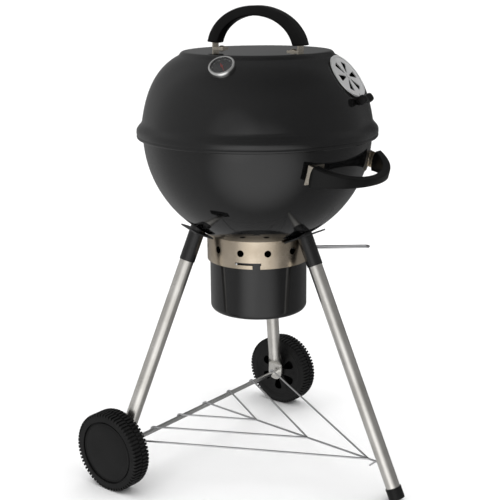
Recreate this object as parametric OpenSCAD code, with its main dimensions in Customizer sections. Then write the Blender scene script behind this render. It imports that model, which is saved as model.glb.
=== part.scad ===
// Kettle charcoal grill on three legs with two wheels, an ash pot and a domed lid.
// Units are millimetres, +Z is up, the single foot leg and the side handle face -Y.
// The origin is under the middle of the overall footprint, on the floor.

/* [Bowl and lid] */
// Outside radius of the round bowl
bowl_r = 232.5; // [225:0.5:236]
// Height of the bowl's centre above the floor
bowl_z = 718.4; // [700:0.1:740]
// Sheet thickness of the enamelled bowl and lid
sheet = 2; // [1.6:0.1:2.4]
// Outside radius of the lid's skirt
rim_r = 245; // [243:0.5:250]
// Height of the flat crown of the lid
crown_z = 881.5; // [878:0.5:890]
// Radius of the flat crown
crown_r = 150; // [140:1:154]

/* [Stand] */
// Radius at which the foot leg meets the floor
foot_r = 348.9; // [335:0.1:360]
// Lean of the foot leg, sideways per unit of height
foot_lean = 0.447; // [0.42:0.001:0.46]
// Radius at which the wheel legs' centre lines meet the floor
rear_r = 341.4; // [336:0.1:346]
// Lean of the two wheel legs, sideways per unit of height
rear_lean = 0.3957; // [0.385:0.0005:0.405]
// Leg tube radius
tube_r = 14.5; // [13:0.25:15]
// Wheel radius
wheel_r = 83; // [80:0.5:86]
// Wheel width over the tyre
wheel_w = 42; // [40:1:44]
// Wire thickness of the bottom rack
rack_wire = 4; // [3:0.25:5]

/* [Ash catcher] */
// Outside radius of the steel ring under the bowl
ring_r = 106.5; // [105:0.5:108]
// Height of the ring's lower edge
ring_z = 455; // [452:1:457]
// Number of round holes in the ring
ring_holes = 12; // [8:1:14]
// Outside radius of the ash pot
pot_r = 101; // [98:0.5:102]
// Height of the ash pot's underside
pot_z = 345; // [330:1:370]
// Direction of the sweeper lever, turned from the foot leg
lever_az = 39; // [34:1:44]

/* [Handles] */
// Half width of the grip arch, outside
grip_a = 122.5; // [121:0.5:125]
// Rise of the grip arch, outside
grip_b = 87.5; // [82:0.5:92]
// Width of the lid grip
grip_w = 22; // [18:1:26]
// Half distance between the handle posts
post_x = 107; // [105:0.5:108]
// Downward tilt of the side handle, outwards
side_tilt = 13.7; // [11:0.1:16]

/* [Lid fittings] */
// Direction of the lid vent, turned from the foot leg
vent_az = 10; // [5:1:15]
// Radius of the vent damper
vent_r = 48; // [46:0.5:49]
// Direction of the thermometer, turned from the foot leg
thermo_az = -74; // [-80:1:-70]
// Radius of the thermometer bezel
thermo_r = 26; // [24:0.5:27]

/* [Hidden] */
$fn = 72;

inner_r = bowl_r - sheet;
foot_tilt = atan(foot_lean);
rear_tilt = atan(rear_lean);
cap_r = tube_r + 1.8;
cap_end = cap_r * tan(foot_tilt) - 1.6;
y_front = -(foot_r + cap_r * cos(foot_tilt) - cap_end * sin(foot_tilt));
y_mid = (y_front + rim_r) / 2;

axle_r = 5;
axle_y = (rear_r - rear_lean * wheel_r) * cos(60);
leg_x = (rear_r - rear_lean * wheel_r) * sin(60);
wheel_x = leg_x + 6.9 + wheel_w / 2;

// Dome of the lid: a smooth shoulder curve, radius as a function of height.
dome_r = 240.6;
dome_z0 = 562;
dome_h = 330;
dome_n = 3.75;
skirt_z = bowl_z - 7;
bead_z = bowl_z + 12.6;
shoulder_top = crown_z - 8.5;
shoulder_low = bowl_z + 27;
shoulder_steps = 22;

function dome(z) = dome_r * pow(1 - pow((z - dome_z0) / dome_h, dome_n), 1 / dome_n);
function dome_slope(z) = dome(z + 0.5) - dome(z - 0.5);
function dome_elev(z) = atan(-dome_slope(z));
function dome_point(z, d) = let (s = dome_slope(z), l = sqrt(1 + s * s)) [dome(z) - d / l, z + d * s / l];
function step_z(i) = shoulder_top
    + (shoulder_low - shoulder_top) * pow(i / shoulder_steps, 1.35);
function shoulder(d) = [for (i = [0 : shoulder_steps]) dome_point(step_z(i), d)];
function reversed(p) = [for (i = [len(p) - 1 : -1 : 0]) p[i]];
function arc(r, a0, a1, n) = [for (i = [0 : n]) let (a = a0 + (a1 - a0) * i / n) [r * sin(a), -r * cos(a)]];

lid_outline = concat(
    [[0, crown_z], [crown_r - 4, crown_z], [crown_r, crown_z - 0.8], [crown_r + 3.6, crown_z - 3.6]],
    shoulder(0),
    [[dome(shoulder_low) + 1.6, shoulder_low - 5], [rim_r - 4, bowl_z + 15.4], [rim_r - 1, bowl_z + 11.4],
     [rim_r, bowl_z + 8], [rim_r, bowl_z + 0.6], [rim_r - 1.1, bowl_z - 0.8], [rim_r - 0.2, bowl_z - 2.4],
     [rim_r, bowl_z - 4.6], [rim_r - 1.2, skirt_z - 0.2], [rim_r - 3.4, skirt_z - 0.6]]);
lid_underside = concat(
    [[rim_r - 5, skirt_z + 1], [rim_r - 4.6, bowl_z - 3], [rim_r - 2, bowl_z - 1],
     [rim_r - 2, bowl_z + 8], [rim_r - 3, bowl_z + 10.6], [rim_r - 6, bowl_z + 14.4],
     [dome(shoulder_low) - 0.6, shoulder_low - 4.4]],
    reversed(shoulder(sheet)),
    [[crown_r + 2, crown_z - 5.2], [crown_r - 1, crown_z - sheet - 1], [crown_r - 5, crown_z - sheet],
     [0, crown_z - sheet]]);

vent_lid_z = 838;
vent_axis_r = dome(vent_lid_z);
vent_tilt = 90 - dome_elev(vent_lid_z);
seat_level = -4;
thermo_lid_z = 861;
thermo_tilt = 90 - dome_elev(thermo_lid_z);

lever_z = 473.5;
shaft_r = 6;
vent_slots = 3;
slot_az = -21;

// ---------- placing helpers ----------

module placed() {
    translate([0, -y_mid, 0]) children();
}

// Leg frame: z runs up the leg, x runs round the grill, the origin is on the floor.
module on_leg(az, r, tilt) {
    rotate([0, 0, az]) translate([0, -r, 0]) rotate([-tilt, 0, 0]) children();
}

// Lid frame: z points out of the dome, y points up the slope.
module on_dome(az, z, tilt) {
    rotate([0, 0, az]) translate([0, -dome(z), z]) rotate([tilt, 0, 0]) children();
}

module at_wheel(side) {
    translate([side * wheel_x, axle_y, wheel_r]) rotate([0, side * 90, 0]) children();
}

module rod(a, b, r) {
    d = b - a;
    l = norm(d);
    translate(a) rotate([0, acos(d[2] / l), atan2(d[1], d[0])]) cylinder(h = l, r = r, $fn = 24);
}

module tube(r, wall, h) {
    difference() {
        cylinder(h = h, r = r);
        translate([0, 0, -1]) cylinder(h = h + 2, r = r - wall);
    }
}

module sector(a0, a1, r0, r1, h) {
    linear_extrude(height = h)
        polygon(concat(arc(r0, a0, a1, 8), reversed(arc(r1, a0, a1, 8))));
}

module bowl_ball(r, fn = 72) {
    translate([0, 0, bowl_z]) sphere(r = r, $fn = fn);
}

// ---------- bowl ----------

module bowl() color([0.03, 0.03, 0.035]) placed() difference() {
    union() {
        difference() {
            bowl_ball(bowl_r);
            bowl_ball(inner_r);
            translate([-300, -300, bowl_z]) cube([600, 600, 300]);
        }
        translate([0, 0, bowl_z]) tube(bowl_r, sheet, bead_z - bowl_z);
        rotate_extrude() translate([bowl_r + 3, bead_z]) circle(r = 3.6, $fn = 24);
    }
    translate([0, 0, 470]) cylinder(h = 40, r = shaft_r + 0.06);
    for (i = [0 : vent_slots - 1])
        rotate([0, 0, slot_az + i * 120]) translate([0, 0, 470]) sector(-15, 15, 36, 90, 60);
}

module ash_ring() color([0.72, 0.66, 0.55]) placed() difference() {
    translate([0, 0, ring_z]) tube(ring_r, 1.2, 60);
    bowl_ball(bowl_r);
    for (i = [0 : ring_holes - 1])
        rotate([0, 0, -12.3 + i * 360 / ring_holes]) translate([0, -ring_r + 8, 487])
            rotate([90, 0, 0]) cylinder(h = 16, r = 7.1, $fn = 32);
    for (side = [0, 180]) rotate([0, 0, side]) {
        translate([0, 0, 463]) sector(-78.5, -49.5, ring_r - 6, ring_r + 4, 5);
        translate([0, 0, ring_z - 1]) sector(-59, -50.5, ring_r - 6, ring_r + 4, 9);
    }
    translate([0, 0, lever_z - 3.2]) sector(lever_az - 27, lever_az + 27, ring_r - 6, ring_r + 4, 6.4);
}

// ---------- leg sockets, legs and foot ----------

module socket(az, r, tilt, level) difference() {
    on_leg(az, r, tilt) {
        translate([0, 0, level - 64]) cylinder(h = 84, r = tube_r + 1.4);
        translate([-47, -19, level - 3]) cube([94, 38, 3]);
    }
    on_leg(az, r, tilt) translate([0, 0, level - 70]) cylinder(h = 53.1, r = tube_r + 0.05);
    bowl_ball(bowl_r);
    translate([0, 0, 430]) cylinder(h = 110, r = ring_r + 0.05);
}

module socket_front() color([0.05, 0.05, 0.055]) placed() socket(0, foot_r, foot_tilt, 565.9);
module socket_left() color([0.05, 0.05, 0.055]) placed() socket(-120, rear_r, rear_tilt, 563.2);
module socket_right() color([0.05, 0.05, 0.055]) placed() socket(120, rear_r, rear_tilt, 563.2);

module leg_front() color([0.62, 0.6, 0.57]) placed()
    on_leg(0, foot_r, foot_tilt) translate([0, 0, cap_end + 3]) tube(tube_r, 1.4, 565.9 - 17 - cap_end - 3);

// The wheel legs are pressed flat at the lower end, where the axle goes through.
module wheel_leg(side) {
    on_leg(side * 120, rear_r, rear_tilt) translate([0, 0, 139]) tube(tube_r, 1.4, 563.2 - 17 - 139);
    difference() {
        union() {
            hull() {
                on_leg(side * 120, rear_r, rear_tilt) translate([0, 0, 138]) cylinder(h = 2, r = tube_r + 0.5, $fn = 32);
                translate([side * leg_x - 3.3, axle_y - 20.3, 104]) cube([6.6, 38.6, 2]);
            }
            hull() {
                translate([side * leg_x - 3, axle_y - 20, 105]) cube([6, 38, 2]);
                translate([side * leg_x, axle_y, wheel_r]) rotate([0, 90, 0])
                    translate([0, 0, -3]) cylinder(h = 6, r = 19, $fn = 32);
            }
        }
        translate([side * leg_x - 20, axle_y, wheel_r]) rotate([0, 90, 0]) cylinder(h = 40, r = axle_r + 0.05);
    }
}

module leg_left() color([0.62, 0.6, 0.57]) placed() wheel_leg(-1);
module leg_right() color([0.62, 0.6, 0.57]) placed() wheel_leg(1);

module foot_cap() color([0.05, 0.05, 0.05]) placed() intersection() {
    on_leg(0, foot_r, foot_tilt) difference() {
        translate([0, 0, cap_end]) cylinder(h = 24, r = cap_r);
        translate([0, 0, cap_end + 2.95]) cylinder(h = 30, r = tube_r + 0.05);
    }
    translate([-50, -foot_r - 60, 0]) cube([100, 120, 60]);
}

// ---------- axle, wheels and rack ----------

lugs = 64;
axle_half = wheel_x + wheel_w / 2 - 7;

module axle() color([0.66, 0.65, 0.63]) placed()
    translate([-axle_half, axle_y, wheel_r]) rotate([0, 90, 0]) cylinder(h = 2 * axle_half, r = axle_r);

module axle_washers() color([0.7, 0.7, 0.7]) placed()
    for (side = [-1, 1])
        translate([side * (leg_x + 4.3), axle_y, wheel_r]) rotate([0, 90, 0])
            translate([0, 0, -1.2]) tube(12, 12 - axle_r - 0.05, 2.4);

module axle_caps() color([0.7, 0.7, 0.7]) placed()
    for (side = [-1, 1])
        at_wheel(side) translate([0, 0, wheel_w / 2 - 9.6]) tube(10, 10 - axle_r - 0.05, 3);

module tyre(side) at_wheel(side) difference() {
    translate([0, 0, -wheel_w / 2]) cylinder(h = wheel_w, r = wheel_r, $fn = 96);
    translate([0, 0, -wheel_w / 2 - 1]) cylinder(h = wheel_w + 2, r = 66);
    for (i = [0 : lugs - 1]) {
        rotate([0, 0, i * 360 / lugs]) translate([wheel_r - 3, -1.7, 1]) cube([10, 3.4, wheel_w]);
        rotate([0, 0, (i + 0.5) * 360 / lugs]) translate([wheel_r - 3, -1.7, -wheel_w - 1]) cube([10, 3.4, wheel_w]);
    }
    rotate_extrude() translate([wheel_r - 3, -1.6]) square([10, 3.2]);
}

module wheel_core(side) at_wheel(side) difference() {
    union() {
        translate([0, 0, -wheel_w / 2 + 1]) tube(65.95, 3, wheel_w - 6);
        translate([0, 0, wheel_w / 2 - 13]) cylinder(h = 3, r = 64);
        translate([0, 0, -wheel_w / 2]) cylinder(h = wheel_w - 12, r = 15);
        for (i = [0 : 5])
            rotate([0, 0, i * 60 + 30]) translate([12, -2.2, -wheel_w / 2 + 3]) cube([52, 4.4, wheel_w - 14]);
    }
    translate([0, 0, -wheel_w]) cylinder(h = 2 * wheel_w, r = axle_r + 0.06);
}

module wheel_cover(side) at_wheel(side) translate([0, 0, wheel_w / 2 - 6]) rotate_extrude($fn = 96)
    polygon([[0, 0], [62.9, 0], [62.9, 1], [61.4, 2.4], [58, 3.4], [44, 4.5], [24, 5.2], [0, 5.5]]);

module tyre_left() color([0.04, 0.04, 0.04]) placed() tyre(-1);
module tyre_right() color([0.04, 0.04, 0.04]) placed() tyre(1);
module wheel_core_left() color([0.07, 0.07, 0.07]) placed() wheel_core(-1);
module wheel_core_right() color([0.07, 0.07, 0.07]) placed() wheel_core(1);
module wheel_cover_left() color([0.09, 0.09, 0.09]) placed() wheel_cover(-1);
module wheel_cover_right() color([0.09, 0.09, 0.09]) placed() wheel_cover(1);

rack_r = rack_wire / 2;
bead_r = rack_r + 0.25;
hook_r = axle_r + rack_r + 0.15;
rack_top = wheel_r + hook_r;
// Half width at the axle and forward reach of each bent wire.
chevrons = [[87, 8], [172, -127], [253, -278]];

function rack_z(y) = 72.6 + (rack_top - 72.6) * (y + 278) / (axle_y + 278);

module bead(p) {
    translate(p) sphere(r = bead_r, $fn = 24);
}

// A wire's end: it bends over the axle and down behind it.
module axle_hook(x) {
    translate([x, axle_y, wheel_r]) rotate([0, 90, 0]) rotate([0, 0, 60])
        rotate_extrude(angle = 120, $fn = 48) translate([hook_r, 0]) circle(r = rack_r, $fn = 24);
    bead([x, axle_y, rack_top]);
}

module wire_rack() color([0.6, 0.6, 0.6]) placed() {
    for (c = chevrons) {
        for (side = [-1, 1]) {
            rod([side * c[0], axle_y, rack_top], [0, c[1], rack_z(c[1])], rack_r);
            axle_hook(side * c[0]);
        }
        bead([0, c[1], rack_z(c[1])]);
    }
    axle_hook(0);
    rod([0, axle_y, rack_top], [0, -298, rack_z(-298)], rack_r);
    rod([0, -281, 59], [0, -295.5, 71.6], rack_r - 0.3);
}

// ---------- handles ----------

// Grip and steel strap drawn in a frame with x across, z rising from the base, y front to back.
function grip_line(a, b, t0, n) = [for (i = [0 : n]) let (t = t0 + (180 - 2 * t0) * i / n) [a * cos(t), b * sin(t)]];

module grip() {
    outer = grip_line(grip_a, grip_b, 8.5, 30);
    inner = grip_line(grip_a - 28, grip_b - 20, 9.5, 30);
    outer_trim = grip_line(grip_a - 2.2, grip_b - 2.2, 9.1, 30);
    inner_trim = grip_line(grip_a - 25.8, grip_b - 17.8, 9.9, 30);
    rotate([90, 0, 0]) difference() {
        union() {
            translate([0, 0, -grip_w / 2 + 2.2]) linear_extrude(height = grip_w - 4.4)
                polygon(concat(outer, reversed(inner)));
            translate([0, 0, -grip_w / 2]) linear_extrude(height = grip_w)
                polygon(concat(outer_trim, reversed(inner_trim)));
        }
        for (side = [-1, 1])
            translate([side * post_x - 1.4, 0, -9.1]) cube([2.8, 26.1, 18.2]);
    }
}

module post(side) {
    translate([side * post_x - 1.3, -9, 0]) cube([2.6, 18, 26]);
}

module lid_bracket() color([0.66, 0.64, 0.6]) placed()
    translate([0, 0, crown_z]) rotate([0, 0, 90]) for (side = [-1, 1]) difference() {
        union() {
            post(side);
            translate([side * (post_x - 12.7) - 14, -9, 0]) cube([28, 18, 2.6]);
        }
        translate([side * (post_x - 17), 0, -1]) cylinder(h = 6, r = 3.05, $fn = 24);
    }

module lid_grip() color([0.06, 0.06, 0.065]) placed()
    translate([0, 0, crown_z]) rotate([0, 0, 90]) grip();

module lid_screws() color([0.7, 0.69, 0.66]) placed()
    translate([0, 0, crown_z]) rotate([0, 0, 90]) for (side = [-1, 1])
        translate([side * (post_x - 17), 0, 0]) {
            translate([0, 0, 2.6]) intersection() {
                cylinder(h = 4, r = 7, $fn = 32);
                translate([0, 0, -6.5]) sphere(r = 10.2, $fn = 48);
            }
            translate([0, 0, -9]) cylinder(h = 12, r = 3, $fn = 24);
            translate([0, 0, -6]) cylinder(h = 4, r = 6.4, $fn = 6);
        }

side_u = 189.6;
side_z = 669.9;
side_rise = 92.3;
side_post = 108;
side_lines = 36;

function side_w(t) = 16 + 25.6 * pow(2 * t - 1, 2);
function side_flank(m) = [for (i = [0 : 12]) let (t = i / 24)
    [m * side_w(t) / 2, side_rise * sin(16.7 + 146.6 * t)]];

module side_frame() {
    translate([0, -side_u, side_z]) rotate([90 + side_tilt, 0, 0]) children();
}

// The side grip is broad at its two ends and slim in the middle.
module side_arch() {
    outer = grip_line(124.8, side_rise + 8.4, 8, side_lines);
    inner = grip_line(104.3, side_rise - 8.3, 9.6, side_lines);
    rotate([90, 0, 0]) translate([0, 0, -30]) linear_extrude(height = 60)
        polygon(concat(outer, reversed(inner)));
}

module side_waist() {
    translate([-150, 0, 0]) rotate([90, 0, 90]) linear_extrude(height = 300)
        polygon(concat([[0, 22]], side_flank(1), [[8, 104], [-8, 104]], reversed(side_flank(-1))));
}

module side_grip() color([0.06, 0.06, 0.065]) placed() side_frame() difference() {
    intersection() {
        side_arch();
        side_waist();
    }
    for (side = [-1, 1])
        translate([side * side_post - 1.4, -16.6, 4]) cube([2.8, 33.2, 34.1]);
}

module side_bracket() color([0.66, 0.64, 0.6]) placed() for (side = [-1, 1]) difference() {
    union() {
        intersection() {
            difference() {
                bowl_ball(bowl_r + 2.6);
                bowl_ball(bowl_r);
            }
            translate([side * (side_post - 14) - 15, -260, side_z - 24]) cube([30, 120, 38]);
        }
        difference() {
            side_frame() translate([side * side_post - 1.3, -16.5, -6]) cube([2.6, 33, 44]);
            bowl_ball(bowl_r + 0.6);
        }
    }
    side_rivet(side) translate([0, 0, -10]) cylinder(h = 20, r = 3.05, $fn = 24);
}

// Screw axis square to the bowl, through the foot of the side bracket.
module side_rivet(side) {
    translate([0, 0, bowl_z]) rotate([0, 0, side * 22]) rotate([90 + 11.6, 0, 0])
        translate([0, 0, bowl_r + 2.6]) children();
}

module side_screws() color([0.7, 0.69, 0.66]) placed() for (side = [-1, 1])
    side_rivet(side) {
        intersection() {
            translate([0, 0, 0.1]) cylinder(h = 3, r = 5.5, $fn = 32);
            translate([0, 0, -5]) sphere(r = 7.9, $fn = 48);
        }
        translate([0, 0, -2.5]) cylinder(h = 3.5, r = 3, $fn = 24);
    }

// ---------- grates inside the bowl ----------

module grate(r, wire, count, pitch, z, crossing) {
    translate([0, 0, z]) {
        rotate_extrude() translate([r, 0]) circle(r = 3, $fn = 24);
        for (i = [0 : count - 1]) {
            x = (i - (count - 1) / 2) * pitch;
            l = sqrt(r * r - x * x) - 0.4;
            rod([x, -l, 0], [x, l, 0], wire);
        }
        for (side = [-1, 1]) {
            y = side * crossing;
            l = sqrt(r * r - y * y) - 3;
            rod([-l, y, -wire - 1.6], [l, y, -wire - 1.6], 2.4);
        }
    }
}

module cooking_grate() color([0.6, 0.6, 0.6]) placed() grate(218, 2.2, 17, 24, 672, 82);
module charcoal_grate() color([0.35, 0.33, 0.32]) placed() grate(166, 2.8, 9, 34, 563, 70);

module grate_tabs() color([0.3, 0.3, 0.3]) placed() intersection() {
    bowl_ball(inner_r, 240);
    for (i = [0 : 3])
        rotate([0, 0, 45 + i * 90]) translate([-14, -235, 662]) cube([28, 24, 6.9]);
}

// ---------- lid ----------

module lid_shell() color([0.03, 0.03, 0.035]) placed() difference() {
    rotate_extrude() polygon(concat(lid_outline, lid_underside));
    on_dome(vent_az, vent_lid_z, vent_tilt) translate([0, 0, -40]) cylinder(h = 80, r = vent_r - 0.55);
    on_dome(thermo_az, thermo_lid_z, thermo_tilt) translate([0, 0, -30]) cylinder(h = 60, r = 4.1, $fn = 32);
    for (side = [-1, 1])
        translate([0, side * (post_x - 17), crown_z - 10]) cylinder(h = 20, r = 3.05, $fn = 24);
}

// Flat round seat set into the lid's shoulder, with six openings under the damper.
module vent_seat() color([0.03, 0.03, 0.035]) placed() on_dome(vent_az, vent_lid_z, vent_tilt) difference() {
    translate([0, 0, seat_level - 13]) cylinder(h = 13, r = vent_r - 0.6);
    translate([0, 0, seat_level - 15]) cylinder(h = 13.2, r = vent_r - 2.4);
    vent_openings(seat_level - 4);
    translate([0, 0, seat_level - 4]) cylinder(h = 8, r = 3.1, $fn = 24);
}

module vent_openings(z) {
    for (i = [0 : 5])
        rotate([0, 0, i * 60 + 90]) translate([0, 0, z]) linear_extrude(height = 12)
            polygon(concat([[1.6, -9], [-1.6, -9]], arc(35, -13, 13, 6)));
}

module vent_damper() color([0.74, 0.74, 0.73]) placed() on_dome(vent_az, vent_lid_z, vent_tilt) difference() {
    translate([0, 0, seat_level + 0.4]) union() {
        cylinder(h = 1.6, r = vent_r);
        rotate_extrude() translate([vent_r - 3.4, 1]) square([3.4, 2]);
        translate([-7, -vent_r - 9, 0.2]) cube([14, 14, 1.4]);
    }
    vent_openings(seat_level - 4);
    translate([0, 0, seat_level - 4]) cylinder(h = 12, r = 3.1, $fn = 24);
    translate([0, -vent_r + 6.5, seat_level - 4]) cylinder(h = 12, r = 1.6, $fn = 24);
}

module vent_knob() color([0.05, 0.05, 0.05]) placed() on_dome(vent_az, vent_lid_z, vent_tilt)
    translate([0, -vent_r - 8, seat_level + 6.6]) difference() {
        rotate([0, 90, 0]) rotate_extrude($fn = 48)
            polygon([[0, -22], [7, -22], [8.6, -20], [8.8, -14], [7.6, -8], [7.2, -2],
                     [7.2, 2], [7.6, 8], [8.8, 14], [8.6, 20], [7, 22], [0, 22]]);
        translate([-7.05, -1.05, -6.1]) cube([14.1, 14, 1.6]);
    }

module vent_rivets() color([0.7, 0.7, 0.7]) placed() on_dome(vent_az, vent_lid_z, vent_tilt) {
    translate([0, 0, seat_level - 3.8]) cylinder(h = 1.6, r = 6, $fn = 32);
    translate([0, 0, seat_level - 3.7]) cylinder(h = 6.7, r = 3.04, $fn = 24);
    translate([0, 0, seat_level + 2.05]) cylinder(h = 1.7, r = 5.4, $fn = 32);
    translate([0, -vent_r + 6.5, seat_level + 0.5]) cylinder(h = 2, r = 1.55, $fn = 24);
    translate([0, -vent_r + 6.5, seat_level + 2.05]) cylinder(h = 1.3, r = 3, $fn = 24);
}

// ---------- thermometer ----------

module thermo_frame() on_dome(thermo_az, thermo_lid_z, thermo_tilt) children();

module thermo_bezel() color([0.8, 0.8, 0.8]) placed() thermo_frame() difference() {
    translate([0, 0, 0.05]) cylinder(h = 7.95, r = thermo_r);
    translate([0, 0, 1.4]) cylinder(h = 5.2, r = thermo_r - 2);
    translate([0, 0, 5]) cylinder(h = 5, r = thermo_r - 4.4);
    translate([0, 0, -6]) cylinder(h = 20, r = 4.1, $fn = 32);
}

module thermo_dial() color([0.25, 0.25, 0.26]) placed() thermo_frame() difference() {
    translate([0, 0, 1.45]) cylinder(h = 0.8, r = thermo_r - 2.1);
    cylinder(h = 5, r = 1.05, $fn = 24);
}

module thermo_needle() color([0.8, 0.08, 0.05]) placed() thermo_frame() difference() {
    union() {
        rotate([0, 0, -55]) translate([0, 0, 3]) linear_extrude(height = 0.7)
            polygon([[-9, -1.1], [-9, 1.1], [0, 0.9], [15, 0.25], [15, -0.25], [0, -0.9]]);
        translate([0, 0, 2.7]) cylinder(h = 1.2, r = 2.4, $fn = 32);
    }
    cylinder(h = 3.2, r = 1.05, $fn = 24);
}

module thermo_glass() color([0.8, 0.9, 1, 0.35]) placed() thermo_frame()
    translate([0, 0, 5]) cylinder(h = 1.55, r = thermo_r - 2.1);

module thermo_stem() color([0.7, 0.7, 0.7]) placed() thermo_frame() {
    translate([0, 0, -40]) cylinder(h = 41.3, r = 4, $fn = 32);
    translate([0, 0, 1]) cylinder(h = 1.9, r = 1, $fn = 24);
}

module thermo_nut() color([0.7, 0.7, 0.7]) placed() thermo_frame() difference() {
    translate([0, 0, -7.8]) cylinder(h = 5, r = 8, $fn = 6);
    translate([0, 0, -9]) cylinder(h = 8, r = 4.05, $fn = 32);
}

// ---------- ash sweeper ----------

module sweeper_blades() color([0.55, 0.55, 0.54]) placed() difference() {
    union() {
        intersection() {
            difference() {
                bowl_ball(inner_r - 0.6);
                bowl_ball(inner_r - 3.4);
            }
            for (i = [0 : vent_slots - 1])
                rotate([0, 0, slot_az + 20 + i * 120]) translate([0, 0, 480]) sector(-18, 18, 10, 97, 60);
        }
        translate([0, 0, 489.4]) cylinder(h = 8, r = 15);
    }
    translate([0, 0, 470]) cylinder(h = 60, r = shaft_r + 0.05);
}

module sweeper_shaft() color([0.6, 0.6, 0.6]) placed() {
    translate([0, 0, 466]) cylinder(h = 34, r = shaft_r);
    translate([0, 0, 497.6]) cylinder(h = 4, r = 9, $fn = 6);
}

module sweeper_lever() color([0.62, 0.62, 0.61]) placed() rotate([0, 0, lever_az]) difference() {
    union() {
        for (side = [-1, 1])
            rod([side * 7, -4, lever_z], [side * 7, -225, lever_z], 2);
        translate([0, -224.9, lever_z]) rotate([0, 0, 180])
            rotate_extrude(angle = 180, $fn = 48) translate([7, 0]) circle(r = 2.1, $fn = 24);
        translate([0, 0, lever_z - 3]) cylinder(h = 6, r = 11);
    }
    translate([0, 0, lever_z - 10]) cylinder(h = 20, r = shaft_r + 0.05);
}

// ---------- ash pot ----------

pot_rim = 468.8;

module ash_pot() color([0.03, 0.03, 0.035]) placed() rotate_extrude($fn = 120)
    polygon(concat(
        [[0, pot_z]],
        [for (i = [0 : 6]) [pot_r - 12 + 12 * sin(i * 15), pot_z + 12 - 12 * cos(i * 15)]],
        [[pot_r, pot_rim], [pot_r - 1.6, pot_rim]],
        [for (i = [6 : -1 : 0]) [pot_r - 12 + 10.4 * sin(i * 15), pot_z + 12 - 10.4 * cos(i * 15)]],
        [[0, pot_z + 1.6]]));

module pot_pins() color([0.75, 0.74, 0.72]) placed()
    for (side = [0, 180])
        rotate([0, 0, -76.3 + side]) translate([0, -pot_r - 0.1, 465.5]) rotate([90, 0, 0])
            cylinder(h = 8.2, r = 2, $fn = 24);

// ---------- nodes ----------

bowl();
ash_ring();
socket_front();
socket_left();
socket_right();
leg_front();
leg_left();
leg_right();
foot_cap();
axle();
axle_washers();
axle_caps();
wire_rack();
side_grip();
side_bracket();
side_screws();
charcoal_grate();
cooking_grate();
grate_tabs();
lid_shell();
lid_grip();
lid_bracket();
lid_screws();
thermo_bezel();
thermo_dial();
thermo_glass();
thermo_stem();
thermo_nut();
thermo_needle();
vent_seat();
vent_damper();
vent_knob();
vent_rivets();
sweeper_blades();
sweeper_shaft();
sweeper_lever();
ash_pot();
pot_pins();
tyre_left();
wheel_core_left();
wheel_cover_left();
tyre_right();
wheel_core_right();
wheel_cover_right();
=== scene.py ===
import math

import bmesh
import bpy
from mathutils import Matrix, Vector


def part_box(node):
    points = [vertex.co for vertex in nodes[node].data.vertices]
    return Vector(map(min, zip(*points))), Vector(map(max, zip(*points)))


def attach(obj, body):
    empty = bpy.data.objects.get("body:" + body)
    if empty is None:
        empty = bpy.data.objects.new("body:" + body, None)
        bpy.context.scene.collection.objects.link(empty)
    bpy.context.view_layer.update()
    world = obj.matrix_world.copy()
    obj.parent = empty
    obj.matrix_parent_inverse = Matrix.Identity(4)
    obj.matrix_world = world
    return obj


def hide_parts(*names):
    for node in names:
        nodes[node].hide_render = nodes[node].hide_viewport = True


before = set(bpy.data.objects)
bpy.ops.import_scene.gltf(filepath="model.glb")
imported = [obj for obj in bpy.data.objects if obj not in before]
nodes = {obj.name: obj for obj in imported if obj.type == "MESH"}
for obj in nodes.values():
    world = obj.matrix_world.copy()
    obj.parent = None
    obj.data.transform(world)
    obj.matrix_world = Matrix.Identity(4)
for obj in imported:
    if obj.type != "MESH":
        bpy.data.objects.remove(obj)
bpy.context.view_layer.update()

MM = 0.001
scene = bpy.context.scene

# ---------------------------------------------------------------- places shared with the CAD
low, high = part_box("lid_shell")
AXIS_Y = (low.y + high.y) / 2 / MM
CROWN_Z = high.z / MM
BOWL_Z = 718.4
BOWL_R = 232.5
RIM_R = 245.0
WHEEL_R = 83.0
WHEEL_W = 42.0


def placed(*steps):
    m = Matrix.Translation((0, AXIS_Y * MM, 0))
    for s in steps:
        m = m @ s
    return m


def turn(deg, axis):
    return Matrix.Rotation(math.radians(deg), 4, axis)


def shift(x, y, z):
    return Matrix.Translation((x * MM, y * MM, z * MM))


def dome(z):
    return 240.6 * (1 - ((z - 562) / 330) ** 3.75) ** (1 / 3.75)


def dome_frame(az, z):
    elev = math.degrees(math.atan(-(dome(z + 0.5) - dome(z - 0.5))))
    return placed(turn(az, "Z"), shift(0, -dome(z), z), turn(90 - elev, "X"))


# ---------------------------------------------------------------- camera
def make_camera():
    cam = bpy.data.objects.new("camera", bpy.data.cameras.new("camera"))
    scene.collection.objects.link(cam)
    pitch, heading, roll = 14.41, math.atan2(0.6150, 0.7886), 0.55
    ahead = Vector((math.cos(heading), math.sin(heading), 0)) * math.cos(math.radians(pitch))
    ahead.z = -math.sin(math.radians(pitch))
    cam.rotation_mode = "QUATERNION"
    cam.location = (-1.7578, -1.2905, 1.0382)
    cam.rotation_quaternion = ahead.to_track_quat("-Z", "Y") @ turn(-roll, "Z").to_quaternion()
    cam.data.sensor_width = 36
    cam.data.lens = 78.7
    cam.data.clip_start, cam.data.clip_end = 0.05, 60
    scene.camera = cam


make_camera()


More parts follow.
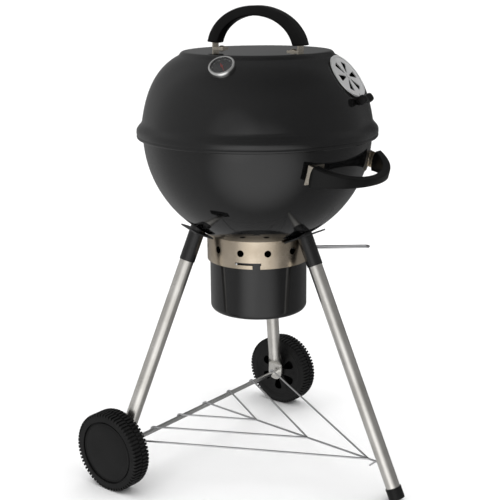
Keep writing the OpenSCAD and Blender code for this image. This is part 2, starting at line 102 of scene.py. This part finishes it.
# ---------------------------------------------------------------- material helpers
class Nodes:
    """A Principled material with a few short ways to add variation."""

    def __init__(self, name, color, rough, metal=0.0, **more):
        self.m = bpy.data.materials.new(name)
        self.m.use_nodes = True
        self.t = self.m.node_tree
        self.b = self.t.nodes["Principled BSDF"]
        self.b.inputs["Base Color"].default_value = (*color, 1)
        self.b.inputs["Roughness"].default_value = rough
        self.b.inputs["Metallic"].default_value = metal
        for k, v in more.items():
            self.b.inputs[k.replace("_", " ")].default_value = v
        self.m.diffuse_color = (*color, 1)

    def add(self, kind, **inputs):
        n = self.t.nodes.new(kind)
        for k, v in inputs.items():
            n.inputs[k].default_value = v
        return n

    def link(self, a, b):
        self.t.links.new(a, b)

    def coords(self, stretch=(1, 1, 1), rot=(0, 0, 0)):
        c = self.t.nodes.new("ShaderNodeTexCoord")
        m = self.add("ShaderNodeMapping", Scale=stretch, Rotation=[math.radians(a) for a in rot])
        self.link(c.outputs["Object"], m.inputs["Vector"])
        return m.outputs["Vector"]

    def noise(self, scale, vector, detail=4.0, rough=0.55):
        n = self.add("ShaderNodeTexNoise", Scale=scale, Detail=detail, Roughness=rough)
        self.link(vector, n.inputs["Vector"])
        return n.outputs["Fac"]

    def spread(self, fac, lo, hi, a=0.3, b=0.7):
        n = self.add("ShaderNodeMapRange", **{"From Min": a, "From Max": b, "To Min": lo, "To Max": hi})
        self.link(fac, n.inputs["Value"])
        return n.outputs["Result"]

    def tones(self, fac, stops):
        n = self.t.nodes.new("ShaderNodeValToRGB")
        e = n.color_ramp.elements
        while len(e) < len(stops):
            e.new(0.5)
        for k, (pos, col) in zip(e, stops):
            k.position = pos
            k.color = (*col, 1)
        self.link(fac, n.inputs["Fac"])
        return n.outputs["Color"]

    def bump(self, fac, strength, distance):
        n = self.add("ShaderNodeBump", Strength=strength, Distance=distance)
        self.link(fac, n.inputs["Height"])
        last = self.b.inputs["Normal"].links
        if last:
            self.link(last[0].from_socket, n.inputs["Normal"])
        self.link(n.outputs["Normal"], self.b.inputs["Normal"])

    def to(self, output, socket):
        self.link(output, self.b.inputs[socket])


def enamel(name, base=0.0035, rough=0.06):
    """Fired enamel: deep gloss with a faint orange peel and a little dust."""
    k = Nodes(name, (base, base, base * 1.05), rough, IOR=1.5)
    v = k.coords()
    cloud = k.noise(9, v, 5)
    k.to(k.spread(cloud, rough * 0.8, rough * 1.5), "Roughness")
    specks = [(0.45, (base, base, base * 1.04)), (0.8, (base * 2.4,) * 3)]
    k.to(k.tones(k.noise(700, v, 3), specks), "Base Color")
    k.bump(k.noise(95, v, 2), 0.05, 0.0004)
    return k.m


def brushed(name, dark, light, stretch, rot=(0, 0, 0), rough=(0.2, 0.36), grain=60.0, depth=0.12,
            metal=1.0):
    """Brushed metal: fine lines along one direction with slow stains over them."""
    k = Nodes(name, light, rough[0], metal=metal)
    lines = k.noise(grain, k.coords(stretch, rot), 6, 0.7)
    stain = k.noise(14, k.coords(), 4)
    mix = k.add("ShaderNodeMath")
    mix.operation = "MULTIPLY_ADD"
    mix.inputs[1].default_value = 0.55
    k.link(lines, mix.inputs[0])
    half = k.add("ShaderNodeMath")
    half.operation = "MULTIPLY"
    half.inputs[1].default_value = 0.45
    k.link(stain, half.inputs[0])
    k.link(half.outputs[0], mix.inputs[2])
    k.to(k.tones(mix.outputs[0], [(0.36, dark), (0.62, light)]), "Base Color")
    k.to(k.spread(lines, rough[0], rough[1]), "Roughness")
    k.bump(lines, depth, 0.0002)
    return k.m


def plastic(name, tone, rough, grain=900.0, depth=0.25, level=0.25):
    """Moulded plastic with a fine satin grain and slight handling marks."""
    k = Nodes(name, (tone, tone, tone), rough, IOR=1.46, Specular_IOR_Level=level)
    v = k.coords()
    wear = k.noise(22, v, 5)
    k.to(k.tones(wear, [(0.35, (tone * 0.75,) * 3), (0.75, (tone * 1.5,) * 3)]), "Base Color")
    k.to(k.spread(wear, rough * 0.85, rough * 1.2), "Roughness")
    k.bump(k.noise(grain, v, 2), depth, 0.00015)
    return k.m


LEG_LEAN = {"front": (24.1, 0, 0), "left": (-11, -18.9, 0), "right": (-11, 18.9, 0)}

M = {
    "enamel": enamel("enamel"),
    "pot_enamel": enamel("pot_enamel", 0.004, 0.07),
    "socket": enamel("socket_paint", 0.006, 0.22),
    "ring": brushed("ring_steel", (0.34, 0.28, 0.2), (0.66, 0.57, 0.46), (5, 5, 160),
                    rough=(0.16, 0.34)),
    "rod": brushed("rod_steel", (0.58, 0.58, 0.57), (0.9, 0.9, 0.89), (4, 120, 120)),
    "wire": brushed("wire_steel", (0.52, 0.52, 0.53), (0.78, 0.78, 0.79), (60, 60, 60), rough=(0.28, 0.42)),
    "strap": brushed("strap_steel", (0.45, 0.4, 0.33), (0.78, 0.72, 0.62), (120, 120, 6)),
    "grate": brushed("grate_steel", (0.3, 0.29, 0.28), (0.55, 0.54, 0.52), (5, 60, 60), rough=(0.28, 0.45)),
    "vent": brushed("vent_aluminium", (0.4, 0.4, 0.4), (0.62, 0.62, 0.62), (40, 40, 40),
                    rough=(0.26, 0.4), metal=0.45),
    "chrome": brushed("chrome", (0.7, 0.7, 0.69), (0.86, 0.86, 0.85), (20, 20, 20),
                    rough=(0.05, 0.14), depth=0.02),
    "grip": plastic("grip_plastic", 0.004, 0.4, level=0.18),
    "foot": plastic("foot_plastic", 0.006, 0.42),
    "tyre": plastic("tyre_plastic", 0.008, 0.5, 500.0, 0.3),
    "hub": plastic("wheel_plastic", 0.008, 0.42),
    "cover": plastic("cover_plastic", 0.0065, 0.42),
}
for leg, lean in LEG_LEAN.items():
    M["leg_" + leg] = brushed("leg_steel_" + leg, (0.56, 0.54, 0.5), (0.9, 0.88, 0.84), (110, 110, 3), lean)


def paint(name, tone, dark, light, scale, rough, start=0.3):
    """Printed paint with fine mottling between two tones."""
    k = Nodes(name, tone, rough)
    v = k.coords()
    k.to(k.tones(k.noise(scale, v, 3), [(start, dark), (0.7, light)]), "Base Color")
    return k


def dial_material():
    k = paint("dial_paint", (0.035, 0.037, 0.042), (0.028, 0.03, 0.034), (0.05, 0.052, 0.058), 260, 0.42, 0.4)
    k.to(k.spread(k.noise(60, k.coords()), 0.36, 0.5), "Roughness")
    return k.m


def glass_material():
    k = Nodes("glass", (1, 1, 1), 0.03, IOR=1.46)
    k.b.inputs["Transmission Weight"].default_value = 1.0
    v = k.coords()
    k.to(k.spread(k.noise(90, v), 0.015, 0.05), "Roughness")
    return k.m


M["dial"] = dial_material()
M["needle"] = paint("needle_paint", (0.62, 0.03, 0.02), (0.5, 0.02, 0.015), (0.68, 0.035, 0.022), 400, 0.35).m
M["mark"] = paint("dial_marks", (0.62, 0.62, 0.6), (0.5, 0.5, 0.49), (0.7, 0.7, 0.68), 500, 0.5).m
M["glass"] = glass_material()


# ---------------------------------------------------------------- mesh helpers
def new_piece(name, verts, faces, material, slot, body, stands_for=(), sharp=32.0):
    """Makes a mesh piece from points in metres, ties it to its body and hides the CAD nodes it stands for."""
    mesh = bpy.data.meshes.new(name)
    mesh.from_pydata([tuple(v) for v in verts], [], faces)
    bm = bmesh.new()
    bm.from_mesh(mesh)
    bmesh.ops.remove_doubles(bm, verts=bm.verts, dist=1e-7)
    bmesh.ops.recalc_face_normals(bm, faces=bm.faces)
    bm.to_mesh(mesh)
    bm.free()
    mesh.shade_smooth()
    mesh.set_sharp_from_angle(angle=math.radians(sharp))
    mesh.materials.append(material)
    o = bpy.data.objects.new(name, mesh)
    scene.collection.objects.link(o)
    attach(o, body)
    if stands_for:
        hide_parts(*stands_for)
    return o


def chaikin(points, rounds=2):
    """Rounds the corners of an open line of points."""
    for _ in range(rounds):
        out = [points[0]]
        for a, b in zip(points, points[1:]):
            out.append((a[0] * 0.75 + b[0] * 0.25, a[1] * 0.75 + b[1] * 0.25))
            out.append((a[0] * 0.25 + b[0] * 0.75, a[1] * 0.25 + b[1] * 0.75))
        out.append(points[-1])
        points = out
    return points


def lathe(profile, m, count=160, closed=True):
    """Points and faces of a profile of (radius, height) in mm turned round a local Z axis."""
    verts, faces = [], []
    n = len(profile)
    for i in range(count):
        a = 2 * math.pi * i / count
        for r, z in profile:
            verts.append(m @ Vector((r * math.cos(a) * MM, r * math.sin(a) * MM, z * MM)))
    for i in range(count):
        j = (i + 1) % count
        for k in range(n if closed else n - 1):
            l = (k + 1) % n
            ring = [i * n + k, j * n + k, j * n + l, i * n + l]
            if profile[k][0] < 1e-6 and profile[l][0] < 1e-6:
                continue
            if profile[k][0] < 1e-6:
                verts[j * n + k] = verts[i * n + k]
                ring = [ring[0], ring[2], ring[3]]
            elif profile[l][0] < 1e-6:
                ring = ring[:3]
            faces.append(ring)
    return verts, faces


def cut(target, verts, faces):
    """Cuts a closed form out of a piece and bakes the result into its mesh."""
    mesh = bpy.data.meshes.new("cutter")
    mesh.from_pydata([tuple(v) for v in verts], [], faces)
    bm = bmesh.new()
    bm.from_mesh(mesh)
    bmesh.ops.remove_doubles(bm, verts=bm.verts, dist=1e-7)
    bmesh.ops.recalc_face_normals(bm, faces=bm.faces)
    bm.to_mesh(mesh)
    bm.free()
    tool = bpy.data.objects.new("cutter", mesh)
    scene.collection.objects.link(tool)
    mod = target.modifiers.new("cut", "BOOLEAN")
    mod.operation, mod.object, mod.solver = "DIFFERENCE", tool, "EXACT"
    dg = bpy.context.evaluated_depsgraph_get()
    made = bpy.data.meshes.new_from_object(target.evaluated_get(dg))
    target.modifiers.clear()
    old = target.data
    target.data = made
    made.name = old.name
    bpy.data.objects.remove(tool)
    made.shade_smooth()
    made.set_sharp_from_angle(angle=math.radians(30))


def drum(m, r, z0, z1, count=96):
    return lathe([(0, z0), (r, z0), (r, z1), (0, z1)], m, count, closed=False)


def wedge(m, a0, a1, r0, r1, z0, z1, steps=12):
    """A closed sector block round a local Z axis, angles in degrees from local -Y."""
    verts, faces = [], []
    for i in range(steps + 1):
        a = math.radians(a0 + (a1 - a0) * i / steps)
        for r, z in ((r0, z0), (r1, z0), (r1, z1), (r0, z1)):
            verts.append(m @ Vector((r * math.sin(a) * MM, -r * math.cos(a) * MM, z * MM)))
    for i in range(steps):
        for k in range(4):
            l = (k + 1) % 4
            faces.append([i * 4 + k, i * 4 + l, (i + 1) * 4 + l, (i + 1) * 4 + k])
    faces.append([0, 1, 2, 3])
    faces.append([steps * 4 + k for k in (3, 2, 1, 0)])
    return verts, faces


# ---------------------------------------------------------------- lid, bowl, pot and ring
def make_lid():
    top, low_z = CROWN_Z - 8.5, BOWL_Z + 27
    outer = [(0, CROWN_Z), (60, CROWN_Z), (110, CROWN_Z), (138, CROWN_Z), (146, CROWN_Z - 0.1),
             (150, CROWN_Z - 0.9), (153.4, CROWN_Z - 3.6)]
    outer += [(dome(z), z) for z in [top + (low_z - top) * (i / 44) ** 1.35 for i in range(45)]]
    outer += [(dome(low_z) + 1.6, low_z - 5), (RIM_R - 4, BOWL_Z + 15.4), (RIM_R - 1, BOWL_Z + 11.4),
              (RIM_R + 0.1, BOWL_Z + 8), (RIM_R + 0.1, BOWL_Z + 0.6), (RIM_R - 1.4, BOWL_Z - 0.9),
              (RIM_R - 0.1, BOWL_Z - 2.4), (RIM_R + 0.1, BOWL_Z - 4.6), (RIM_R - 1, BOWL_Z - 7),
              (RIM_R - 3.4, BOWL_Z - 7.8)]
    inner = [(RIM_R - 4.8, BOWL_Z - 6.4), (RIM_R - 4.4, BOWL_Z - 3), (RIM_R - 2.4, BOWL_Z - 1),
             (RIM_R - 2.2, BOWL_Z + 8), (RIM_R - 3.2, BOWL_Z + 10.6), (RIM_R - 6, BOWL_Z + 14.4)]
    inner += [(dome(z) - 2.2, z - 0.2) for z in [low_z + (top - low_z) * i / 30 for i in range(31)]]
    inner += [(148, CROWN_Z - 3.4), (140, CROWN_Z - 2), (90, CROWN_Z - 2), (0, CROWN_Z - 2)]
    profile = chaikin(outer, 2)[:-1] + chaikin(inner, 1)
    verts, faces = lathe(profile, placed(), 256, closed=False)
    lid = new_piece("lid_body", verts, faces, M["enamel"], "enamel", "lid", ["lid_shell"], 40)
    cut(lid, *drum(dome_frame(10, 838), 47.45, -40, 40))
    cut(lid, *drum(dome_frame(-74, 861), 4.1, -25, 25, 32))
    return lid


def make_bowl():
    arc = [(BOWL_R * math.sin(a), BOWL_Z - BOWL_R * math.cos(a))
           for a in [math.pi / 2 * i / 60 for i in range(61)]]
    inside = [((BOWL_R - 2) * math.sin(a), BOWL_Z - (BOWL_R - 2) * math.cos(a))
              for a in [math.pi / 2 * (1 - i / 48) for i in range(49)]]
    bead = [(BOWL_R + 3 + 3.6 * math.cos(t), BOWL_Z + 12.6 + 3.6 * math.sin(t))
            for t in [math.radians(-130 + 20 * i) for i in range(14)]]
    profile = arc + [(BOWL_R, BOWL_Z + 9)] + bead + [(BOWL_R - 2, BOWL_Z + 11)] + inside
    verts, faces = lathe(profile, placed(), 256, closed=False)
    bowl = new_piece("bowl_body", verts, faces, M["enamel"], "enamel", "stand", ["bowl"], 40)
    for i in range(3):
        cut(bowl, *wedge(placed(turn(-21 + 120 * i, "Z")), -15, 15, 36, 90, 470, 530))
    return bowl


def make_pot():
    r, z0, rim = 101.0, 345.0, 468.8
    outer = [(0, z0 + 0.6), (r - 30, z0 + 0.5), (r - 13, z0)]
    outer += [(r - 12 + 12 * math.sin(a), z0 + 12 - 12 * math.cos(a))
              for a in [math.radians(6 * i + 4) for i in range(15)]]
    outer += [(r, z0 + 14), (r, rim - 3), (r - 0.2, rim - 0.6), (r - 0.8, rim), (r - 1.5, rim - 0.6)]
    inner = [(r - 1.6, z0 + 14)]
    inner += [(r - 12 + 10.4 * math.sin(a), z0 + 12 - 10.4 * math.cos(a))
              for a in [math.radians(90 - 10 * i) for i in range(10)]]
    inner += [(0, z0 + 1.6)]
    verts, faces = lathe(outer + inner, placed(), 160, closed=False)
    return new_piece("pot_body", verts, faces, M["pot_enamel"], "pot_enamel", "pot", ["ash_pot"], 40)


def make_ring():
    r, z0, z1 = 106.5, 455.0, 511.55
    profile = [(r, z0 + 0.3), (r, 484), (r, z1), (r - 1.2, z1 - 0.6), (r - 1.2, z0 + 0.3), (r - 0.6, z0)]
    verts, faces = lathe(profile, placed(), 240)
    ring = new_piece("ring_body", verts, faces, M["ring"], "ring_steel", "stand", ["ash_ring"], 30)
    for i in range(12):
        m = placed(turn(-12.3 + 30 * i, "Z"), shift(0, -r + 8, 487), turn(90, "X"))
        cut(ring, *drum(m, 7.1, 0, 16, 32))
    for side in (0, 180):
        cut(ring, *wedge(placed(turn(side, "Z")), -78.5, -49.5, r - 6, r + 4, 463, 468))
        cut(ring, *wedge(placed(turn(side, "Z")), -59, -50.5, r - 6, r + 4, 450, 464, 6))
    cut(ring, *wedge(placed(), 12, 66, r - 6, r + 4, 470.3, 476.7))
    return ring


# ---------------------------------------------------------------- grips
def grip_mesh(m, outer, inner, wide, cap, steps=72, corner=30):
    """Satin grip: an arch between two ellipses, its width given by a function along the arch.

    outer and inner are (half width, height, start angle); cap lists (inset, push, squeeze) for
    the rings that close each end.
    """
    verts, faces, loops = [], [], []

    def section(t, inset=0.0, push=0.0, squeeze=1.0):
        to = math.radians(outer[2] + (180 - 2 * outer[2]) * t)
        ti = math.radians(inner[2] + (180 - 2 * inner[2]) * t)
        o = Vector((outer[0] * math.cos(to), outer[1] * math.sin(to)))
        i = Vector((inner[0] * math.cos(ti), inner[1] * math.sin(ti)))
        mid, half = (o + i) / 2, (o - i) / 2
        h, w, out = half.length, wide(t) * squeeze, half.normalized()
        along = Vector((-out.y, out.x)) * push
        ring = []
        for k in range(corner):
            a = 2 * math.pi * k / corner
            c, s = math.cos(a), math.sin(a)
            soft = min(3.4, h - inset, w - inset)
            u = math.copysign(h - inset - soft, c) + soft * c
            v = math.copysign(w - inset - soft, s) + soft * s
            q = mid + out * u + along
            ring.append(m @ Vector((q.x * MM, v * MM, q.y * MM)))
        loops.append(len(verts))
        verts.extend(ring)

    for inset, push, squeeze in cap:
        section(0, inset, push, squeeze)
    for k in range(1, steps):
        section(k / steps)
    for inset, push, squeeze in reversed(cap):
        section(1, inset, -push, squeeze)
    for a, b in zip(loops, loops[1:]):
        for k in range(corner):
            l = (k + 1) % corner
            faces.append([a + k, a + l, b + l, b + k])
    faces.append([loops[0] + k for k in range(corner)])
    faces.append([loops[-1] + k for k in reversed(range(corner))])
    return verts, faces


def make_grips():
    m = placed(shift(0, 0, CROWN_Z), turn(90, "Z"))
    parts = grip_mesh(m, (122.5, 87.5, 8.5), (94.5, 67.5, 9.5), lambda t: 11.0,
                      [(2.2, 0, 1), (0.8, 0.4, 1), (0, 1.6, 1)])
    new_piece("lid_grip_body", *parts, M["grip"], "grip_plastic", "lid", ["lid_grip"], 50)
    m = placed(shift(0, -189.6, 669.9), turn(103.7, "X"))
    parts = grip_mesh(m, (124.8, 100.7, 15.4), (104.3, 84, 18.4), lambda t: 8 + 12.8 * (2 * t - 1) ** 2,
                      [(2, -4.2, 0.3), (0.8, -3.3, 0.55), (0.1, -1.4, 0.86), (0, 0, 1)])
    new_piece("side_grip_body", *parts, M["grip"], "grip_plastic", "stand", ["side_grip"], 50)


# ---------------------------------------------------------------- wheels
def lug(m, a, z0, z1, width=4.7):
    """One tread lug that wraps over the tyre's shoulder."""
    r0, r1 = 76.0, WHEEL_R
    lean = 1 if z1 > 0 else -1
    side = z1 if lean > 0 else z0
    rows = [(r0, side - lean * 0.2), (r1 - 1.8, side), (r1 - 0.4, side - lean * 1.6), (r1, side - lean * 4)]
    end = z0 if lean > 0 else z1
    rows += [(r1, end + lean * 0.5), (r1 - 0.6, end), (r0, end)]
    verts, faces = [], []
    for s in (-1, 1):
        for r, z in rows:
            w = width / 2 * (1.0 if r < r1 - 1 else 0.86) * s
            verts.append(m @ turn(a, "Z") @ Vector((r * MM, w * MM, z * MM)))
    n = len(rows)
    for k in range(n):
        l = (k + 1) % n
        faces.append([k, l, n + l, n + k])
    faces.append(list(range(n)))
    faces.append([n + k for k in reversed(range(n))])
    return verts, faces


def tyre_mesh(m):
    h = WHEEL_W / 2
    profile = [(66, -h + 1), (67.4, -h), (74, -h + 0.1), (76.8, -h + 0.9), (78.8, -h + 3), (79.2, -h + 8),
               (79.2, -1.4), (78.6, -0.8), (78.6, 0.8), (79.2, 1.4),
               (79.2, h - 8), (78.8, h - 3), (76.8, h - 0.9), (74, h - 0.1), (67.4, h), (66, h - 1)]
    verts, faces = lathe(profile, m, 144)
    for i in range(64):
        for off, z0, z1 in ((0, 1.3, h - 0.3), (0.5, -h + 0.3, -1.3)):
            v, f = lug(m, (i + off) * 360 / 64, z0, z1)
            base = len(verts)
            verts += v
            faces += [[base + k for k in q] for q in f]
    return verts, faces


def cover_profile():
    h = WHEEL_W / 2
    return [(0, h - 0.6), (20, h - 0.75), (42, h - 1.2), (55, h - 1.9), (58.4, h - 2.3), (59.4, h - 2.9),
            (60.4, h - 2.9), (61.2, h - 2.1), (62.2, h - 2.2), (62.8, h - 3), (62.9, h - 6), (0, h - 6)]


def petal(m, a, z0, z1):
    """Closed drop-shaped form, pointed towards the hub."""
    half = [(18.5, 1.2), (24, 4.6), (31, 7.6), (38, 9.8), (43, 10), (46.6, 8), (48.4, 4.4)]
    line = [(x, -y) for x, y in half] + [(49, 0)] + [(x, y) for x, y in reversed(half)]
    verts = [m @ turn(a, "Z") @ Vector((x * MM, y * MM, z * MM)) for z in (z0, z1) for x, y in line]
    n = len(line)
    faces = [[k, (k + 1) % n, n + (k + 1) % n, n + k] for k in range(n)]
    return verts, faces + [list(range(n)), [n + k for k in reversed(range(n))]]


def make_web(m, name):
    """Inner face of a wheel: a shallow dished disc with six petal openings round the hub."""
    h = WHEEL_W / 2
    profile = [(14.5, -h + 1.4), (17, -h + 1.6), (48, -h + 3.6), (56, -h + 3), (63.2, -h + 1.6),
               (63.2, -h + 4.4), (48, -h + 5.6), (14.5, -h + 4)]
    verts, faces = lathe(profile, m, 120)
    web = new_piece("wheel_web_" + name, verts, faces, M["hub"], "wheel_plastic", "wheel_" + name, sharp=30)
    for i in range(6):
        cut(web, *petal(m, 60 * i, -h - 4, -h + 9))


def make_wheels():
    for side, name in ((-1, "left"), (1, "right")):
        lo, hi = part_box("tyre_" + name)
        c = (lo + hi) / 2
        m = Matrix.Translation(c) @ turn(90 * side, "Y")
        body = "wheel_" + name
        new_piece("tyre_body_" + name, *tyre_mesh(m), M["tyre"], "tyre_plastic", body, ["tyre_" + name], 25)
        new_piece("cover_body_" + name, *lathe(cover_profile(), m, 144, closed=False), M["cover"],
                  "cover_plastic", body, ["wheel_cover_" + name], 28)
        make_web(m, name)


# ---------------------------------------------------------------- thermometer and vent
def make_thermometer():
    m = dome_frame(-74, 861)
    bezel = [(4.2, -0.6), (4.2, 1.3), (23.9, 1.3), (24, 6.7), (21.7, 6.9), (21.6, 7.6), (22.4, 8), (24.2, 8),
             (25.4, 7.2), (26, 5.6), (26, 1), (25.8, -2.4), (20, -1.3), (10, -0.6)]
    new_piece("bezel_body", *lathe(bezel, m, 128), M["chrome"], "chrome", "lid", ["thermo_bezel"], 35)
    verts, faces = [], []

    def block(a, r0, r1, w):
        base = len(verts)
        for r in (r0, r1):
            for s in (-w / 2, w / 2):
                for z in (2.2, 2.42):
                    verts.append(m @ turn(a, "Z") @ Vector((s * MM, r * MM, z * MM)))
        for q in ((0, 1, 3, 2), (4, 6, 7, 5), (0, 4, 5, 1), (2, 3, 7, 6), (0, 2, 6, 4), (1, 5, 7, 3)):
            faces.append([base + k for k in q])

    for i in range(41):
        a = -135 + 270 * i / 40
        long = i % 5 == 0
        block(a, 17.4 if long else 18.9, 20.7, 0.75 if long else 0.4)
    new_piece("dial_marks", verts, faces, M["mark"], "dial_paint", "lid", sharp=20)


def make_knob():
    """Bow-tie knob: two flared flat wings on a waist."""
    m = dome_frame(10, 838) @ shift(0, -56, 2.6) @ turn(90, "Y")
    verts, faces = [], []
    rows = [(-22, 6), (-21.4, 7.8), (-19.6, 8.7), (-14, 8.7), (-8, 7.4), (-3, 6.2), (0, 6),
            (3, 6.2), (8, 7.4), (14, 8.7), (19.6, 8.7), (21.4, 7.8), (22, 6)]
    n = 28
    for x, r in rows:
        for k in range(n):
            a = 2 * math.pi * k / n
            c, s = math.cos(a), math.sin(a)
            verts.append(m @ Vector((math.copysign(abs(c) ** 0.7, c) * r * 0.98 * MM,
                                     math.copysign(abs(s) ** 0.7, s) * r * MM, x * MM)))
    for i in range(len(rows) - 1):
        for k in range(n):
            l = (k + 1) % n
            faces.append([i * n + k, i * n + l, (i + 1) * n + l, (i + 1) * n + k])
    faces.append([k for k in range(n)])
    faces.append([(len(rows) - 1) * n + k for k in reversed(range(n))])
    new_piece("knob_body", verts, faces, M["grip"], "grip_plastic", "vent", ["vent_knob"], 40)


# ---------------------------------------------------------------- CAD nodes that stay
FINISH = {
    "socket": ["socket_front", "socket_left", "socket_right"],
    "leg_front": ["leg_front"],
    "leg_left": ["leg_left"],
    "leg_right": ["leg_right"],
    "foot": ["foot_cap"],
    "rod": ["axle", "axle_washers", "axle_caps", "sweeper_shaft", "pot_pins", "thermo_stem", "thermo_nut"],
    "wire": ["wire_rack", "sweeper_lever"],
    "strap": ["side_bracket", "side_screws", "lid_bracket", "lid_screws"],
    "grate": ["charcoal_grate", "cooking_grate", "sweeper_blades"],
    "enamel": ["grate_tabs", "vent_seat", "bowl", "lid_shell"],
    "vent": ["vent_damper", "vent_rivets"],
    "hub": ["wheel_core_left", "wheel_core_right"],
    "dial": ["thermo_dial"],
    "needle": ["thermo_needle"],
    "glass": ["thermo_glass"],
    "ring": ["ash_ring"],
    "pot_enamel": ["ash_pot"],
    "grip": ["lid_grip", "side_grip", "vent_knob"],
    "tyre": ["tyre_left", "tyre_right"],
    "cover": ["wheel_cover_left", "wheel_cover_right"],
    "chrome": ["thermo_bezel"],
}


def paint_nodes():
    for key, names in FINISH.items():
        for n in names:
            mesh = nodes[n].data
            mesh.materials.clear()
            mesh.materials.append(M[key])


paint_nodes()
make_lid()
make_bowl()
make_pot()
make_ring()
make_grips()
make_wheels()
make_thermometer()
make_knob()


# ---------------------------------------------------------------- floor, world and lights
def make_stage():
    mesh = bpy.data.meshes.new("floor")
    bm = bmesh.new()
    bmesh.ops.create_grid(bm, x_segments=8, y_segments=8, size=60)
    bm.to_mesh(mesh)
    bm.free()
    k = Nodes("floor", (0.86, 0.86, 0.86), 0.75)
    clouds = [(0.3, (0.85, 0.85, 0.85)), (0.7, (0.88, 0.88, 0.88))]
    k.to(k.tones(k.noise(3, k.coords(), 3), clouds), "Base Color")
    mesh.materials.append(k.m)
    floor = bpy.data.objects.new("floor", mesh)
    scene.collection.objects.link(floor)
    floor.visible_glossy = False


# Soft tones of the room: direction, cosines where the tone starts and ends, tones at both.
ROOM = [
    ((-0.615, 0.789, 0), -0.9, 0.9, 0.3, 0.62),
    ((0.76, 0.6, 0.2), 0.5, 0.97, 0.0, -0.27),
    ((-0.70, -0.55, -0.5), 0.6, 1.0, 0.0, 1.15),
    ((-0.95, -0.25, 0.05), 0.86, 0.99, 0.0, 0.35),
    ((0, 0, 1), 0.55, 0.95, 0.0, -0.12),
]


def make_world():
    """White to the eye; a dim room with one soft patch low in front as seen in reflections."""
    world = bpy.data.worlds.new("studio")
    world.use_nodes = True
    t = world.node_tree
    t.nodes.clear()
    out = t.nodes.new("ShaderNodeOutputWorld")
    path = t.nodes.new("ShaderNodeLightPath")
    mix = t.nodes.new("ShaderNodeMixShader")
    seen, light = t.nodes.new("ShaderNodeBackground"), t.nodes.new("ShaderNodeBackground")
    seen.inputs["Strength"].default_value = 1.0
    seen.inputs["Color"].default_value = (1, 1, 1, 1)
    coord = t.nodes.new("ShaderNodeTexCoord")

    def lobe(direction, a, b, lo, hi):
        """Tone that rises from lo to hi as the cosine to a direction goes from a to b."""
        dot, span = t.nodes.new("ShaderNodeVectorMath"), t.nodes.new("ShaderNodeMapRange")
        dot.operation = "DOT_PRODUCT"
        dot.inputs[1].default_value = Vector(direction).normalized()
        span.interpolation_type = "SMOOTHSTEP"
        for key, value in (("From Min", a), ("From Max", b), ("To Min", lo), ("To Max", hi)):
            span.inputs[key].default_value = value
        t.links.new(coord.outputs["Generated"], dot.inputs[0])
        t.links.new(dot.outputs["Value"], span.inputs["Value"])
        return span.outputs["Result"]

    total = None
    for value in ROOM:
        tone = lobe(*value)
        if total is None:
            total = tone
            continue
        add = t.nodes.new("ShaderNodeMath")
        t.links.new(total, add.inputs[0])
        t.links.new(tone, add.inputs[1])
        total = add.outputs[0]
    t.links.new(total, light.inputs["Strength"])
    t.links.new(path.outputs["Is Camera Ray"], mix.inputs["Fac"])
    t.links.new(light.outputs[0], mix.inputs[1])
    t.links.new(seen.outputs[0], mix.inputs[2])
    t.links.new(mix.outputs[0], out.inputs["Surface"])
    scene.world = world


def area(name, place, aim, size, power):
    data = bpy.data.lights.new(name, "AREA")
    data.shape, data.size, data.size_y = "RECTANGLE", size[0], size[1]
    data.energy = power
    o = bpy.data.objects.new(name, data)
    scene.collection.objects.link(o)
    o.location = place
    o.rotation_euler = (Vector(aim) - Vector(place)).to_track_quat("-Z", "Y").to_euler()
    o.visible_glossy = False
    o.visible_transmission = False


def sun(name, toward, strength, spread):
    data = bpy.data.lights.new(name, "SUN")
    data.energy, data.angle = strength, math.radians(spread)
    o = bpy.data.objects.new(name, data)
    scene.collection.objects.link(o)
    o.rotation_euler = Vector(toward).to_track_quat("-Z", "Y").to_euler()
    o.visible_glossy = False
    o.visible_transmission = False


make_stage()
make_world()
sun("sky", (-0.1, 0.15, -1), 3.4, 100)
area("left", (-2.6, 2.2, 1.9), (0, 0, 0.6), (1.6, 2.6), 18)
area("right", (1.8, -2.8, 1.6), (0, 0, 0.5), (1.4, 2.4), 14)
scene.view_settings.view_transform = "Standard"
scene.view_settings.look = "None"
